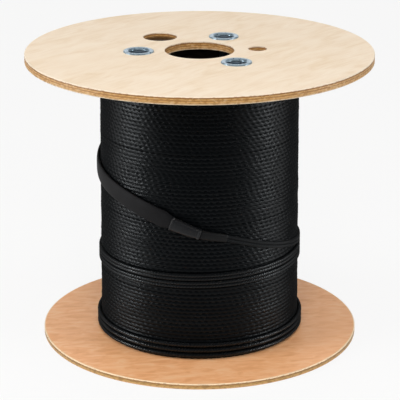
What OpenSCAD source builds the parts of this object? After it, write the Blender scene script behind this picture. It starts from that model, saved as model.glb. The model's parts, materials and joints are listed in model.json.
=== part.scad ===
// Plywood cable drum that stands on its lower flange. Two round flanges are clamped on a
// barrel by three tie rods, a black cable is wound close on the barrel, and the cable's
// outer end, a pair of strands with a flat sleeve, is laid round the winding.
// Millimetres, +Z up, origin at the middle of the drum's foot, front towards -Y.

/* [Drum] */
// Height over both flanges
drum_h = 340; // [300:1:420]
// Diameter of the top flange
top_flange_d = 400; // [320:1:480]
// Thickness of the top flange
top_flange_t = 9; // [7:0.5:15]
// Diameter of the bottom flange
bottom_flange_d = 372; // [320:1:480]
// Thickness of the bottom flange
bottom_flange_t = 6.5; // [5:0.5:15]
// Broken corner along the flange edges
flange_arris = 0.5; // [0.2:0.1:1.5]

/* [Barrel] */
// Outer diameter of the barrel
barrel_d = 211; // [204:1:236]
// Wall of the barrel
barrel_wall = 3.5; // [2:0.5:5]
// Depth of the groove that seats the barrel in each flange
groove_depth = 2; // [1:0.5:3]
// Gap beside the barrel's wall
barrel_gap = 0.2; // [0.1:0.1:0.5]

/* [Holes] */
// Diameter of the spindle bore through both flanges
spindle_d = 80; // [50:1:88]
// Diameter of the drive hole through both flanges
drive_d = 40; // [20:1:42]
// Wood left between the drive hole and the barrel's groove
drive_edge = 2.8; // [2:0.2:8]
// Diameter of the cable hole in the top flange
cable_hole_d = 22; // [12:1:28]
// Distance of the cable hole from the drum's axis
cable_hole_r = 67; // [62:1:76]

/* [Tie rods] */
// Diameter of the circle that the rods stand on
rod_circle_d = 140; // [130:1:160]
// Direction of the first rod, anticlockwise from +X
rod_turn = 66; // [0:1:119]
// Diameter of a rod
rod_d = 10; // [6:0.5:12]
// Length of rod that stands out of its nut
rod_proud = 1; // [0.5:0.1:1.5]
// Gap round a rod
rod_gap = 0.1; // [0.05:0.05:0.3]
// Width of a nut across its flats
nut_af = 16; // [15:0.5:18]
// Height of a nut
nut_h = 8; // [5:0.5:8.5]
// Outer diameter of a cup washer's rim
cup_rim_d = 35; // [31:0.5:38]
// Inner diameter of a cup
cup_d = 22; // [21:0.5:24]
// Depth of a cup below its seat
cup_depth = 9; // [8.5:0.5:12]
// Sheet thickness of a cup
cup_wall = 1.6; // [1:0.1:2]
// Gap round a cup in its hole
cup_gap = 0.2; // [0.1:0.1:0.5]

/* [Winding] */
// Diameter of the cable
cable_d = 4.5; // [3:0.1:6]
// Depth of the winding on the barrel at its top
pack_depth_top = 8.7; // [6:0.1:20]
// Depth of the winding on the barrel at its bottom
pack_depth_bottom = 11.5; // [6:0.1:20]
// Gap between the winding and each flange
pack_gap = 0.3; // [0.1:0.1:1]

/* [Cable end] */
// Height of the upper pair of loose turns at the front
pair_z = 106.5; // [90:0.5:130]
// Rise of the loose turns towards the right
pair_rise = 2; // [0:0.5:4]
// Drop of the pair from one loose turn to the next
pair_pitch = 9; // [8.7:0.1:12]
// Width of a strand where it is pulled tight on the winding
strand_w = 3.8; // [3:0.1:4.2]
// Height that such a strand stands out of the winding
strand_t = 2.2; // [1.5:0.1:4.5]
// Gap between neighbouring strands of a pair
strand_gap = 0.1; // [0.05:0.05:0.15]
// Height of the lowest loose turn
low_turn_z = 11.9; // [11:0.1:20]
// Distance between the loose turns at the bottom
low_turn_pitch = 6.4; // [6.1:0.1:9]
// Gap between the winding and what lies on it
lay_gap = 0.4; // [0.3:0.1:1]
// Width of the flat sleeve
sleeve_w = 20; // [16:0.5:26]
// Thickness of the flat sleeve
sleeve_t = 4; // [2:0.5:6]
// Width of the wide collar at the sleeve
collar_w = 17; // [13:0.5:20]
// Thickness of the wide collar
collar_t = 9; // [6:0.5:12]
// Width of the narrow collar at the strands
lead_collar_w = 10.5; // [9:0.5:13]
// Thickness of the narrow collar
lead_collar_t = 7; // [5:0.5:9]

/* [Hidden] */

$fn = 96;
rod_count = 3;
full_turn = 360;
rod_step = full_turn / rod_count;
// How far a cutting shape runs past the face that it cuts
over = 1;
birch = [0.93, 0.85, 0.74];
birch_low = [0.83, 0.62, 0.44];
board = [0.55, 0.45, 0.34];
zinc = [0.75, 0.79, 0.83];
steel = [0.30, 0.34, 0.38];
jacket = [0.06, 0.06, 0.07];
shrink = [0.13, 0.13, 0.14];
weave = [0.09, 0.09, 0.10];

// Levels of the two inner flange faces
pack_z0 = bottom_flange_t;
pack_z1 = drum_h - top_flange_t;
barrel_r = barrel_d / 2;
barrel_bore_r = barrel_r - barrel_wall;
pack_bore_r = barrel_r + barrel_gap;
drive_r = barrel_bore_r - barrel_gap - drive_edge - drive_d / 2;
// The drive hole and the cable hole lie midway between two rods
drive_turn = rod_turn + rod_step / 2;
cable_hole_turn = rod_turn - rod_step / 2;
cup_hole_d = cup_d + 2 * (cup_wall + cup_gap);
// Rounding of a cup's rim and of its mouth, as shares of its sheet
lip_share = 0.8;
mouth_share = 2;
// Bevel of the nuts and the rod ends, as a share of their width
bevel_share = 0.08;
// The lower cups are let in flush with the drum's foot
low_seat_z = cup_wall;

// Points of an arc about a centre
function arc(centre, r, from, to, steps) =
    [for (k = [0:steps]) let (a = from + (to - from) * k / steps) centre + r * [cos(a), sin(a)]];

// A row of count equal round swellings from p to q, standing out to the right of that way
swell_half = 60;
swell_steps = 4;
function swell_r(chord) = chord / 2 / sin(swell_half);
function swell_height(chord) = swell_r(chord) * (1 - cos(swell_half));
function swells(p, q, count) =
    let (
        chord = norm(q - p) / count,
        way = (q - p) / norm(q - p),
        out = [way[1], -way[0]],
        r = swell_r(chord)
    )
    [for (i = [0:count - 1], k = [0:swell_steps])
        if (i == 0 || k > 0)
            let (a = swell_half * (2 * k / swell_steps - 1))
            p + way * (chord * (i + 0.5) + r * sin(a)) + out * r * (cos(a) - cos(swell_half))];

// Outer radius of the winding at a height
function pack_r(z) =
    let (share = (z - pack_z0) / (pack_z1 - pack_z0))
    pack_bore_r + pack_depth_bottom + (pack_depth_top - pack_depth_bottom) * share;

// Smooth step from 0 to 1 between two angles
function eased(a, from, to) =
    let (t = min(1, max(0, (a - from) / (to - from)))) t * t * (3 - 2 * t);

// Height of a smooth curve through knots of angle and height
function knot_slope(knots, i) =
    let (a = knots[max(0, i - 1)], b = knots[min(len(knots) - 1, i + 1)]) (b[1] - a[1]) / (b[0] - a[0]);
function span_at(knots, a, i = 0) =
    i >= len(knots) - 2 || a < knots[i + 1][0] ? i : span_at(knots, a, i + 1);
function curve_z(knots, a) =
    let (i = span_at(knots, a), p = knots[i], q = knots[i + 1], h = q[0] - p[0], t = (a - p[0]) / h)
    p[1] * (1 + 2 * t) * pow(1 - t, 2) + q[1] * t * t * (3 - 2 * t)
    + h * t * (1 - t) * (knot_slope(knots, i) * (1 - t) - knot_slope(knots, i + 1) * t);

// The cable end's way round the winding: the angle counts from the front towards the right
// and goes on counting turn after turn. The pair of strands goes down one pair pitch at the
// back of each turn, from the tail over the upper and the lower loose turns, then runs down
// the back to the turns at the bottom.
back_from = 90;
back_to = 270;
ramp_from = 810;
ramp_to = 985;
strand_a_to = 1200;
strand_b_to = 1580;
function helix_z(a) =
    pair_z + pair_rise * sin(a) + pair_pitch
    - pair_pitch * (floor(a / full_turn) + eased(a % full_turn, back_from, back_to));

// Angle of the hairline seam between two pieces of the cable end
seam = 0.05;
// How much wider the wide collar ends than the narrow one that goes into it
collar_lip = 2;
// Knots of the sleeve, the collars and the tail, where the tail runs into the loose turns
sleeve_from = -190;
sleeve_to = -15.5;
collar_to = 0.5;
strands_from = 15;
helix_from = 96;
end_knots = [
    [sleeve_from, 228], [-150, 225], [-110, 215.5], [-76, 202.5], [-50, 192], [-27, 179],
    [sleeve_to, 171], [collar_to, 159], [strands_from, 152], [40, 136], [63, 124.5],
    [80, 118.5], [helix_from, helix_z(helix_from)]
];
// The pair comes down beside the lowest turn, its middle one and a half turns above it
low_pair_turns = 1.5;
function pair_mid_z(a) =
    let (low = low_turn_z + low_turn_pitch * low_pair_turns)
    a < helix_from ? curve_z(end_knots, a)
    : a < ramp_from ? helix_z(a)
    : helix_z(ramp_from) + (low - helix_z(ramp_from)) * eased(a, ramp_from, ramp_to);
// The strands lie close and flat in the loose turns, and apart and round at the bottom
function loosened(a, tight, loose) = tight + (loose - tight) * eased(a, ramp_from, ramp_to);
function strand_half(a) = loosened(a, strand_w + strand_gap, low_turn_pitch) / 2;
function strand_section(a, side) =
    oval(
        loosened(a, strand_w, cable_d), loosened(a, strand_t, cable_d), strand_sides,
        rise = side * strand_half(a)
    );
// The lower strand goes round once more, one turn further down
function last_turn_z(a) =
    pair_mid_z(a) - low_turn_pitch * eased(a, ramp_from + full_turn, ramp_to + full_turn);

// A ring of section points square to a way round the winding. The section's first number
// runs up the winding and its second one away from it.
probe = 0.5;
function radial(a) = [sin(a), -cos(a), 0];
function way_point(way_z, a) = let (z = way_z(a)) (pack_r(z) + lay_gap) * radial(a) + [0, 0, z];
function unit(v) = v / norm(v);
function ring(way_z, a, section) =
    let (
        tangent = unit(way_point(way_z, a + probe) - way_point(way_z, a - probe)),
        outward = unit(radial(a) - (radial(a) * tangent) * tangent),
        upward = cross(outward, tangent)
    )
    [for (p = section) way_point(way_z, a) + p[0] * upward + p[1] * outward];

// A flattened round section that lies on the winding, boxier as the power grows
function flattened(x, power) = sign(x) * pow(abs(x), 2 / power);
function oval(w, t, sides, power = 2, rise = 0) =
    [for (k = [0:sides - 1])
        let (a = full_turn * (k + 0.5) / sides)
        [rise + w / 2 * flattened(cos(a), power), t / 2 * (1 + flattened(sin(a), power))]];

// Sides of each section, angle from one ring to the next, and how boxy the flat sections are
strand_sides = 8;
strand_step = 9;
collar_sides = 16;
collar_step = 3;
collar_power = 3.2;
sleeve_sides = 12;
sleeve_step = 6;
sleeve_power = 3;

// Equally spaced angles of a way, no further apart than a step
function stations(from, to, step) =
    let (count = ceil((to - from) / step)) [for (k = [0:count]) from + (to - from) * k / count];

// A closed solid skinned over a row of rings
module skin(rings) {
    sides = len(rings[0]);
    last = (len(rings) - 1) * sides;
    walls = [
        for (j = [0:len(rings) - 2], i = [0:sides - 1])
            let (a = j * sides + i, b = j * sides + (i + 1) % sides)
            each [[a, a + sides, b + sides], [a, b + sides, b]]
    ];
    ends = [[for (i = [0:sides - 1]) i], [for (i = [0:sides - 1]) last + sides - 1 - i]];
    polyhedron([for (r = rings) each r], concat(walls, ends), convexity = 12);
}

// Places a child at one of the rods
module at_rod(i) {
    rotate([0, 0, rod_turn + rod_step * i])
        translate([rod_circle_d / 2, 0, 0])
            children();
}

// A round plate with its sharp corners broken
module plate(d, t) {
    a = flange_arris;
    rotate_extrude()
        polygon([[0, 0], [d / 2 - a, 0], [d / 2, a], [d / 2, t - a], [d / 2 - a, t], [0, t]]);
}

// The holes that both flanges share, cut from z to z + t
module shared_holes(z, t) {
    translate([0, 0, z - over]) {
        cylinder(d = spindle_d, h = t + 2 * over);
        rotate([0, 0, drive_turn])
            translate([drive_r, 0, 0])
                cylinder(d = drive_d, h = t + 2 * over);
        for (i = [0:rod_count - 1])
            at_rod(i)
                cylinder(d = cup_hole_d, h = t + 2 * over);
    }
}

// The groove that seats the barrel
module groove(z, h) {
    translate([0, 0, z])
        difference() {
            cylinder(r = barrel_r + barrel_gap, h = h);
            translate([0, 0, -over])
                cylinder(r = barrel_bore_r - barrel_gap, h = h + 2 * over);
        }
}

module top_flange() {
    color(birch)
        difference() {
            translate([0, 0, pack_z1])
                plate(top_flange_d, top_flange_t);
            shared_holes(pack_z1, top_flange_t);
            rotate([0, 0, cable_hole_turn])
                translate([cable_hole_r, 0, pack_z1 - over])
                    cylinder(d = cable_hole_d, h = top_flange_t + 2 * over);
            groove(pack_z1 - over, groove_depth + over);
        }
}

module bottom_flange() {
    color(birch_low)
        difference() {
            plate(bottom_flange_d, bottom_flange_t);
            shared_holes(0, bottom_flange_t);
            for (i = [0:rod_count - 1])
                at_rod(i)
                    translate([0, 0, -over])
                        cylinder(d = cup_rim_d + 2 * cup_gap, h = low_seat_z + over);
            groove(pack_z0 - groove_depth, groove_depth + over);
        }
}

module barrel() {
    color(board)
        translate([0, 0, pack_z0 - groove_depth])
            difference() {
                cylinder(r = barrel_r, h = pack_z1 - pack_z0 + 2 * groove_depth);
                translate([0, 0, -over])
                    cylinder(r = barrel_bore_r, h = pack_z1 - pack_z0 + 2 * (groove_depth + over));
            }
}

// A pressed cup with a flat rim. Its seat, the underside of the rim, is at z = 0.
module cup() {
    lip = cup_wall * lip_share;
    mouth = cup_wall * mouth_share;
    bore_r = rod_d / 2 + rod_gap;
    outer_r = cup_d / 2 + cup_wall;
    floor_z = -cup_depth;
    rim_r = cup_rim_d / 2;
    rotate_extrude()
        polygon(concat(
            [[bore_r, floor_z - cup_wall]],
            arc([outer_r - cup_wall, floor_z], cup_wall, -90, 0, 4),
            [[outer_r, 0], [rim_r, 0]],
            arc([rim_r - lip, cup_wall - lip], lip, 0, 90, 4),
            arc([cup_d / 2 + mouth, cup_wall - mouth], mouth, 90, 180, 6),
            [[cup_d / 2, floor_z], [bore_r, floor_z]]
        ));
}

// A hex nut with bevelled corners, standing on z = 0
module nut() {
    bevel = nut_af * bevel_share;
    corner_r = nut_af / 2 / cos(30);
    difference() {
        intersection() {
            cylinder(r = corner_r, h = nut_h, $fn = 6);
            rotate_extrude()
                polygon([
                    [0, 0], [corner_r - bevel, 0], [corner_r, bevel / 2],
                    [corner_r, nut_h - bevel / 2], [corner_r - bevel, nut_h], [0, nut_h]
                ]);
        }
        translate([0, 0, -over])
            cylinder(r = rod_d / 2 + rod_gap, h = nut_h + 2 * over);
    }
}

module top_cup(i) {
    color(zinc)
        at_rod(i)
            translate([0, 0, drum_h])
                cup();
}

module bottom_cup(i) {
    color(zinc)
        at_rod(i)
            translate([0, 0, low_seat_z])
                mirror([0, 0, 1])
                    cup();
}

module top_nut(i) {
    color(steel)
        at_rod(i)
            translate([0, 0, drum_h - cup_depth])
                nut();
}

module bottom_nut(i) {
    color(steel)
        at_rod(i)
            translate([0, 0, low_seat_z + cup_depth - nut_h])
                nut();
}

module tie_rod(i) {
    z0 = low_seat_z + cup_depth - nut_h - rod_proud;
    z1 = drum_h - cup_depth + nut_h + rod_proud;
    bevel = rod_d * bevel_share;
    r = rod_d / 2;
    color(steel)
        at_rod(i)
            rotate_extrude()
                polygon([
                    [0, z0], [r - bevel, z0], [r, z0 + bevel],
                    [r, z1 - bevel], [r - bevel, z1], [0, z1]
                ]);
}

// The close layers as one turned solid: each turn swells the outside, each layer the ends
module cable_winding() {
    z0 = pack_z0 + pack_gap;
    z1 = pack_z1 - pack_gap;
    turns = floor((z1 - z0) / cable_d);
    layers_top = max(1, round(pack_depth_top / cable_d));
    layers_bottom = max(1, round(pack_depth_bottom / cable_d));
    side_in = swell_height((z1 - z0) / turns);
    low_in = swell_height(pack_depth_bottom / layers_bottom);
    high_in = swell_height(pack_depth_top / layers_top);
    low_inner = [pack_bore_r, z0 + low_in];
    low_outer = [pack_r(z0) - side_in, z0 + low_in];
    high_outer = [pack_r(z1) - side_in, z1 - high_in];
    high_inner = [pack_bore_r, z1 - high_in];
    color(jacket)
        rotate_extrude()
            polygon(concat(
                swells(low_inner, low_outer, layers_bottom),
                swells(low_outer, high_outer, turns),
                swells(high_outer, high_inner, layers_top)
            ));
}

// One strand of the pair, above the pair's middle (side 1) or below it (side -1)
module strand(way_z, side, to) {
    color(jacket)
        skin([
            for (a = stations(strands_from + seam, to, strand_step))
                ring(way_z, a, strand_section(a, side))
        ]);
}

module lead_strand_a() {
    strand(function (a) pair_mid_z(a), 1, strand_a_to);
}

module lead_strand_b() {
    strand(function (a) last_turn_z(a), -1, strand_b_to);
}

// A flat piece along the knots whose width runs from one value to another
module flat_piece(from, to, step, widths, t, sides, power) {
    skin([
        for (a = stations(from + seam, to, step))
            let (w = widths[0] + (widths[1] - widths[0]) * (a - from) / (to - from))
            ring(function (b) curve_z(end_knots, b), a, oval(w, t, sides, power))
    ]);
}

// A collar shrunk on the cable's end
module collar(from, to, widths, t) {
    color(shrink)
        flat_piece(from, to, collar_step, widths, t, collar_sides, collar_power);
}

module lead_collar() {
    collar(collar_to, strands_from, [lead_collar_w, lead_collar_w], lead_collar_t);
}

module sleeve_collar() {
    collar(sleeve_to, collar_to, [collar_w, lead_collar_w + collar_lip], collar_t);
}

module end_sleeve() {
    widths = [sleeve_w, sleeve_w];
    color(weave)
        flat_piece(sleeve_from, sleeve_to, sleeve_step, widths, sleeve_t, sleeve_sides, sleeve_power);
}

top_flange();
bottom_flange();
barrel();
cable_winding();
for (i = [0:rod_count - 1]) {
    tie_rod(i);
    top_cup(i);
    bottom_cup(i);
    top_nut(i);
    bottom_nut(i);
}
lead_strand_a();
lead_strand_b();
lead_collar();
sleeve_collar();
end_sleeve();
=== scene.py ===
"""Looks of a plywood cable drum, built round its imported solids.

The drum stands on its lower flange, with +Z up and its front towards -Y. All lengths are
metres. Angles round the winding count in degrees from the front towards the right and go
on counting turn after turn.
"""

import json
import logging
import math
from collections.abc import Callable
from dataclasses import dataclass
from enum import Enum

import bpy
import numpy as np
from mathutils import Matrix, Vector


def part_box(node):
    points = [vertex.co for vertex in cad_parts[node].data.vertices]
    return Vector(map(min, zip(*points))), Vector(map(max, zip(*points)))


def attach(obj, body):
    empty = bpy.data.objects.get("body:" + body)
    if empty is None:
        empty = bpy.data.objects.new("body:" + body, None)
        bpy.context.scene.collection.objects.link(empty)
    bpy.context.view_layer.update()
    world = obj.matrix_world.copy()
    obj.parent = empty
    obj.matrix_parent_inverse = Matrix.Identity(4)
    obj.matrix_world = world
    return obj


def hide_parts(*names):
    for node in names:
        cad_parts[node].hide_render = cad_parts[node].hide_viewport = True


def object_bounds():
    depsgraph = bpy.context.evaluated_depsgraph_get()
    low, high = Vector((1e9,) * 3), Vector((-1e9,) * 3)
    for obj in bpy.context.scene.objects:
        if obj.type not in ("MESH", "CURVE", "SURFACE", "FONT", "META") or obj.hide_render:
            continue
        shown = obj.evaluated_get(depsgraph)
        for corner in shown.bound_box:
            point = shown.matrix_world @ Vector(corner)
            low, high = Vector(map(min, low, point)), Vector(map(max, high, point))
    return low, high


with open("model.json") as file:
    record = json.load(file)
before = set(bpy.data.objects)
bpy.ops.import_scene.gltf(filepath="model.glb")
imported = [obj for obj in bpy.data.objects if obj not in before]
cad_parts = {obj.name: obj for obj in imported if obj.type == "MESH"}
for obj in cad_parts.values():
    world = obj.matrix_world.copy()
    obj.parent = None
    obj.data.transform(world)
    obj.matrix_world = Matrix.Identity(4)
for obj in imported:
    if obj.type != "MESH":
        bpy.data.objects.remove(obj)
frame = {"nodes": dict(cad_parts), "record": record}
CAD_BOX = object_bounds()

LOG = logging.getLogger("cable_drum")
BODY = "root"
MM = 0.001
TWO_PI = 2 * math.pi
# Degrees of a turn, of half a turn, and from the drum's front to its right side.
FULL_TURN = 360.0
HALF_TURN = 180.0
FRONT_TURN = 90.0
# Values that a noise mostly keeps between.
NOISE_SPAN = (0.3, 0.7)

Array = np.ndarray
Colour = tuple[int, int, int]
Pair = tuple[float, float]
Triple = tuple[float, float, float]
Socket = bpy.types.NodeSocket
Material = bpy.types.Material
Value = float | tuple[float, ...] | Socket
HeightWay = Callable[[Array], Array]
Trench = Callable[[Array, Array], Array]


class Slot(Enum):
    """Material slots of the record, listed beside some new pieces but not used by them."""

    ZINC_PLATE = "zinc_plate"
    DARK_STEEL = "dark_steel"
    CABLE_JACKET = "cable_jacket"
    SHRINK_TUBE = "shrink_tube"
    SLEEVE_WEAVE = "sleeve_weave"


class Op(Enum):
    """Sums that a finish works out on its numbers."""

    ADD = "ADD"
    SUBTRACT = "SUBTRACT"
    MULTIPLY = "MULTIPLY"
    MULTIPLY_ADD = "MULTIPLY_ADD"
    DIVIDE = "DIVIDE"
    ABSOLUTE = "ABSOLUTE"
    SINE = "SINE"
    COSINE = "COSINE"
    FRACTION = "FRACT"
    ANGLE = "ARCTAN2"
    MAXIMUM = "MAXIMUM"


class Edges(Enum):
    """Largest turn, in degrees, at which a piece's edges still look smooth."""

    CRISP = 25.0
    PLAIN = 40.0
    SOFT = 89.0


class StrandSide(Enum):
    """Which strand of the loose pair: above the pair's middle or below it."""

    UPPER = 1
    LOWER = -1


def linear(colour: Colour) -> tuple[float, float, float, float]:
    """Turns a screen colour into light, by the curve that screens use.

    Args:
        colour: Red, green and blue from 0 to 255.

    Returns:
        Linear red, green and blue from 0 to 1, and an alpha of 1.
    """
    share = np.array(colour, float) / 255
    light = np.where(share <= 0.04045, share / 12.92, ((share + 0.055) / 1.055) ** 2.4)
    return (*light.tolist(), 1.0)


def eased(angle: Array, start: float, end: float) -> Array:
    """Rises from 0 at start to 1 at end along 3t squared minus 2t cubed."""
    share = np.clip((angle - start) / (end - start), 0, 1)
    return share * share * (3 - 2 * share)


def circle(count: int) -> Array:
    """Angles of points spaced evenly round a circle, in radians."""
    return np.arange(count) * TWO_PI / count


def joined(*parts: Array) -> Array:
    """Spreads arrays to one shape and sets them side by side along a new last axis."""
    return np.stack(np.broadcast_arrays(*parts), axis=-1)


def arc(centre: Pair, radius: float, start: float, end: float, steps: int) -> Array:
    """Points of an arc between two angles in degrees: centre plus radius times cosine and sine."""
    angle = np.radians(np.linspace(start, end, steps + 1))
    return np.array(centre) + radius * joined(np.cos(angle), np.sin(angle))


def flattened(sides: int, boxy: float | Array) -> tuple[Array, Array]:
    """A flattened round: cosine and sine, each to the power of 2 over the boxiness.

    Args:
        sides: Number of points round the section.
        boxy: 2 for a plain round, and more for a boxier one.

    Returns:
        The points' places across and outwards, from -1 to 1.
    """
    waves = np.cos(circle(sides)), np.sin(circle(sides))
    across, out = (np.sign(wave) * np.abs(wave) ** (2 / boxy) for wave in waves)
    return across, out


@dataclass
class Patch:
    """A surface given by its points over a grid of two parameters.

    Attributes:
        points: Rows by columns by 3. Columns run anticlockwise about the way of the rows.
        uv: The grid's pattern coordinates by 2, with one more along each closed way.
        rows_close: True where the last row joins the first one.
        capped: True where a flat face closes the first and the last row.
    """

    points: Array
    uv: Array
    rows_close: bool = False
    capped: bool = False

    def corners(self) -> tuple[Array, Array]:
        """Finds the four grid corners of each quad, on columns that join round.

        Returns:
            Row numbers and column numbers, each quads by 4, not yet wrapped round.
        """
        rows, columns = self.points.shape[:2]
        row, column = np.indices((rows - (not self.rows_close), columns)).reshape(2, -1, 1)
        return row + np.array([0, 0, 1, 1]), column + np.array([0, 1, 1, 0])

    def faces(self) -> list[list[int]]:
        """Lists the faces.

        Returns:
            Point numbers of each quad and then of the caps.
        """
        rows, columns = self.points.shape[:2]
        row, column = self.corners()
        made = ((row % rows) * columns + column % columns).tolist()
        if self.capped:
            ring = np.arange(columns)
            made += [ring[::-1].tolist(), (ring + (rows - 1) * columns).tolist()]
        return made

    def face_uv(self) -> Array:
        """Lists the pattern coordinates of every face corner.

        Returns:
            Corners by 2, in the order of faces().
        """
        made = self.uv[self.corners()].reshape(-1, 2)
        if self.capped:
            made = np.concatenate([made, np.zeros((2 * self.points.shape[1], 2))])
        return made


def add_piece(
    name: str, patch: Patch, finish: Material, node: str, edges: Edges = Edges.PLAIN
) -> None:
    """Makes one piece of the drum out of a surface, at the origin, and dresses it.

    Args:
        name: Name of the piece.
        patch: Its surface, closed by itself.
        finish: Its material.
        node: The solid that the piece stands for.
        edges: How smooth its edges look.
    """
    mesh = bpy.data.meshes.new(name)
    mesh.from_pydata(patch.points.reshape(-1, 3), [], patch.faces())
    layer = mesh.uv_layers.new(name="pattern")
    layer.data.foreach_set("uv", patch.face_uv().ravel())
    mesh.shade_smooth()
    mesh.set_sharp_from_angle(angle=math.radians(edges.value))
    mesh.materials.append(finish)
    made = bpy.data.objects.new(name, mesh)
    bpy.context.scene.collection.objects.link(made)
    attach(made, BODY)
    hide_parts(node)
    LOG.info("%s: %d faces, for %s", name, len(mesh.polygons), node)


def revolved(profile: Array, columns: int, centre: Pair = (0.0, 0.0)) -> Patch:
    """Turns a closed profile about an upright axis.

    A point is the centre plus the profile's radius times (cos, sin) of the column's angle,
    at the profile's height.

    Args:
        profile: Points by 1 or by columns, by 2, of radius and height, anticlockwise.
        columns: Number of columns round the axis.
        centre: Place of the axis.

    Returns:
        The closed surface.
    """
    radius, height = profile[..., 0], profile[..., 1]
    angle = circle(columns)
    points = joined(centre[0] + radius * np.cos(angle), centre[1] + radius * np.sin(angle), height)
    down = np.linspace(0, 1, len(profile) + 1)[:, None]
    return Patch(points, joined(down, np.linspace(0, 1, columns + 1)), rows_close=True)


@dataclass(frozen=True)
class Lay:
    """The lay of the cable: beads along a strand, each with a fat belly and narrow waists."""

    diameter: float = 4.5 * MM
    bead: float = 7.25 * MM
    waist: float = 0.12 * MM
    slant: float = 0.22

    def narrowing(self, along: Array, across: Array) -> Array:
        """Share from belly, 0, to waist, 1: half of one minus the cosine of the beads along."""
        return 0.5 - 0.5 * np.cos(TWO_PI * (along + self.slant * across))


LAY = Lay()


class Shader:
    """One procedural material, put together node by node."""

    def __init__(self, name: str) -> None:
        """Starts a material with one principled surface.

        Args:
            name: Name of the material.
        """
        self.material = bpy.data.materials.new(name)
        self.material.use_nodes = True
        self.tree = self.material.node_tree
        self.surface = self.tree.nodes["Principled BSDF"]
        self.place = self.tree.nodes.new("ShaderNodeTexCoord").outputs

    def feed(self, socket: Socket, value: Value) -> None:
        """Links a socket to another one, or sets its own value.

        Args:
            socket: The socket.
            value: Another node's socket, or a plain value.
        """
        if isinstance(value, Socket):
            self.tree.links.new(value, socket)
        else:
            socket.default_value = value

    def node(self, kind: str, inputs: dict[str | int, Value], **settings: object) -> bpy.types.Node:
        """Adds a node.

        Args:
            kind: Blender's name of the node's type.
            inputs: Value or socket for each input, by its name or number.
            settings: The node's own settings.

        Returns:
            The node.
        """
        made = self.tree.nodes.new(kind)
        for key, value in settings.items():
            setattr(made, key, value)
        for key, value in inputs.items():
            self.feed(made.inputs[key], value)
        return made

    def sum(self, op: Op, *values: Value) -> Socket:
        """Works out a sum of up to three numbers."""
        return self.node("ShaderNodeMath", dict(enumerate(values)), operation=op.value).outputs[0]

    def axes(self, vector: Socket) -> list[Socket]:
        """Splits a vector into its three numbers."""
        return list(self.node("ShaderNodeSeparateXYZ", {0: vector}).outputs)

    def turned(self, vector: Socket, degrees: float) -> Socket:
        """Turns pattern coordinates about the upright axis."""
        turn = (0.0, 0.0, math.radians(degrees))
        return self.node("ShaderNodeMapping", {"Vector": vector, "Rotation": turn}).outputs[0]

    def from_axis(self, axis: Pair) -> Socket:
        """Distance from an upright axis.

        Args:
            axis: Place of the axis.

        Returns:
            The distance in metres.
        """
        x, y, _ = self.axes(self.place["Object"])
        inputs = {0: self.node("ShaderNodeCombineXYZ", {0: x, 1: y}).outputs[0], 1: (*axis, 0.0)}
        return self.node("ShaderNodeVectorMath", inputs, operation="DISTANCE").outputs["Value"]

    def noise(self, vector: Socket, waves: float | Triple, detail: float, bend: float = 0.0) -> Socket:
        """Cloudy noise.

        Args:
            vector: Coordinates of the noise.
            waves: Clouds per unit of them, alike along all axes or one number for each.
            detail: Number of finer layers.
            bend: How far the noise bends itself.

        Returns:
            Values about 0.5.
        """
        if isinstance(waves, tuple):
            vector = self.node("ShaderNodeMapping", {"Vector": vector, "Scale": waves}).outputs[0]
            waves = 1.0
        inputs = {"Vector": vector, "Scale": waves, "Detail": detail, "Distortion": bend}
        return self.node("ShaderNodeTexNoise", inputs).outputs["Fac"]

    def ranged(
        self, value: Value, low: float, high: float, to_low: float = 0.0, to_high: float = 1.0
    ) -> Socket:
        """Carries a value smoothly from one range over to another one."""
        inputs = {0: value, 1: low, 2: high, 3: to_low, 4: to_high}
        return self.node("ShaderNodeMapRange", inputs, interpolation_type="SMOOTHSTEP").outputs[0]

    def varied(self, noise: Socket, roughness: float, less: float, more: float) -> Socket:
        """Roughness that a noise makes a little less and a little more."""
        return self.ranged(noise, *NOISE_SPAN, roughness - less, roughness + more)

    def ramp(self, value: Value, stops: list[tuple[float, Colour]]) -> Socket:
        """Turns a value into a colour.

        Args:
            value: The value, from 0 to 1.
            stops: Values in rising order, with their colours.

        Returns:
            The colour.
        """
        made = self.node("ShaderNodeValToRGB", {0: value})
        elements = made.color_ramp.elements
        for _ in stops[2:]:
            elements.new(1.0)
        for element, (position, colour) in zip(elements, stops):
            element.position = position
            element.color = linear(colour)
        return made.outputs[0]

    def mixed(self, share: Value, under: Value, over: Value) -> Socket:
        """Lays one colour over another by a share from 0 to 1."""
        return self.node("ShaderNodeMix", {0: share, 6: under, 7: over}, data_type="RGBA").outputs[2]

    def stained(self, tone: Socket, stain: Colour, value: Value, *span: float) -> Socket:
        """Stains a colour by a value, over a span of values and of the stain's shares."""
        return self.mixed(self.ranged(value, *span), tone, linear(stain))

    def bump(self, height: Socket, depth: float, strength: float) -> None:
        """Tilts the surface by a height from 0 to 1 over a depth in metres."""
        made = self.node("ShaderNodeBump", {"Height": height, "Distance": depth, "Strength": strength})
        self.feed(self.surface.inputs["Normal"], made.outputs[0])

    def dress(self, **inputs: Value) -> Material:
        """Finishes the surface.

        Args:
            inputs: The surface's inputs, with _ for a space in a name.

        Returns:
            The material.
        """
        for key, value in inputs.items():
            self.feed(self.surface.inputs[key.replace("_", " ")], value)
        return self.material


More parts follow.
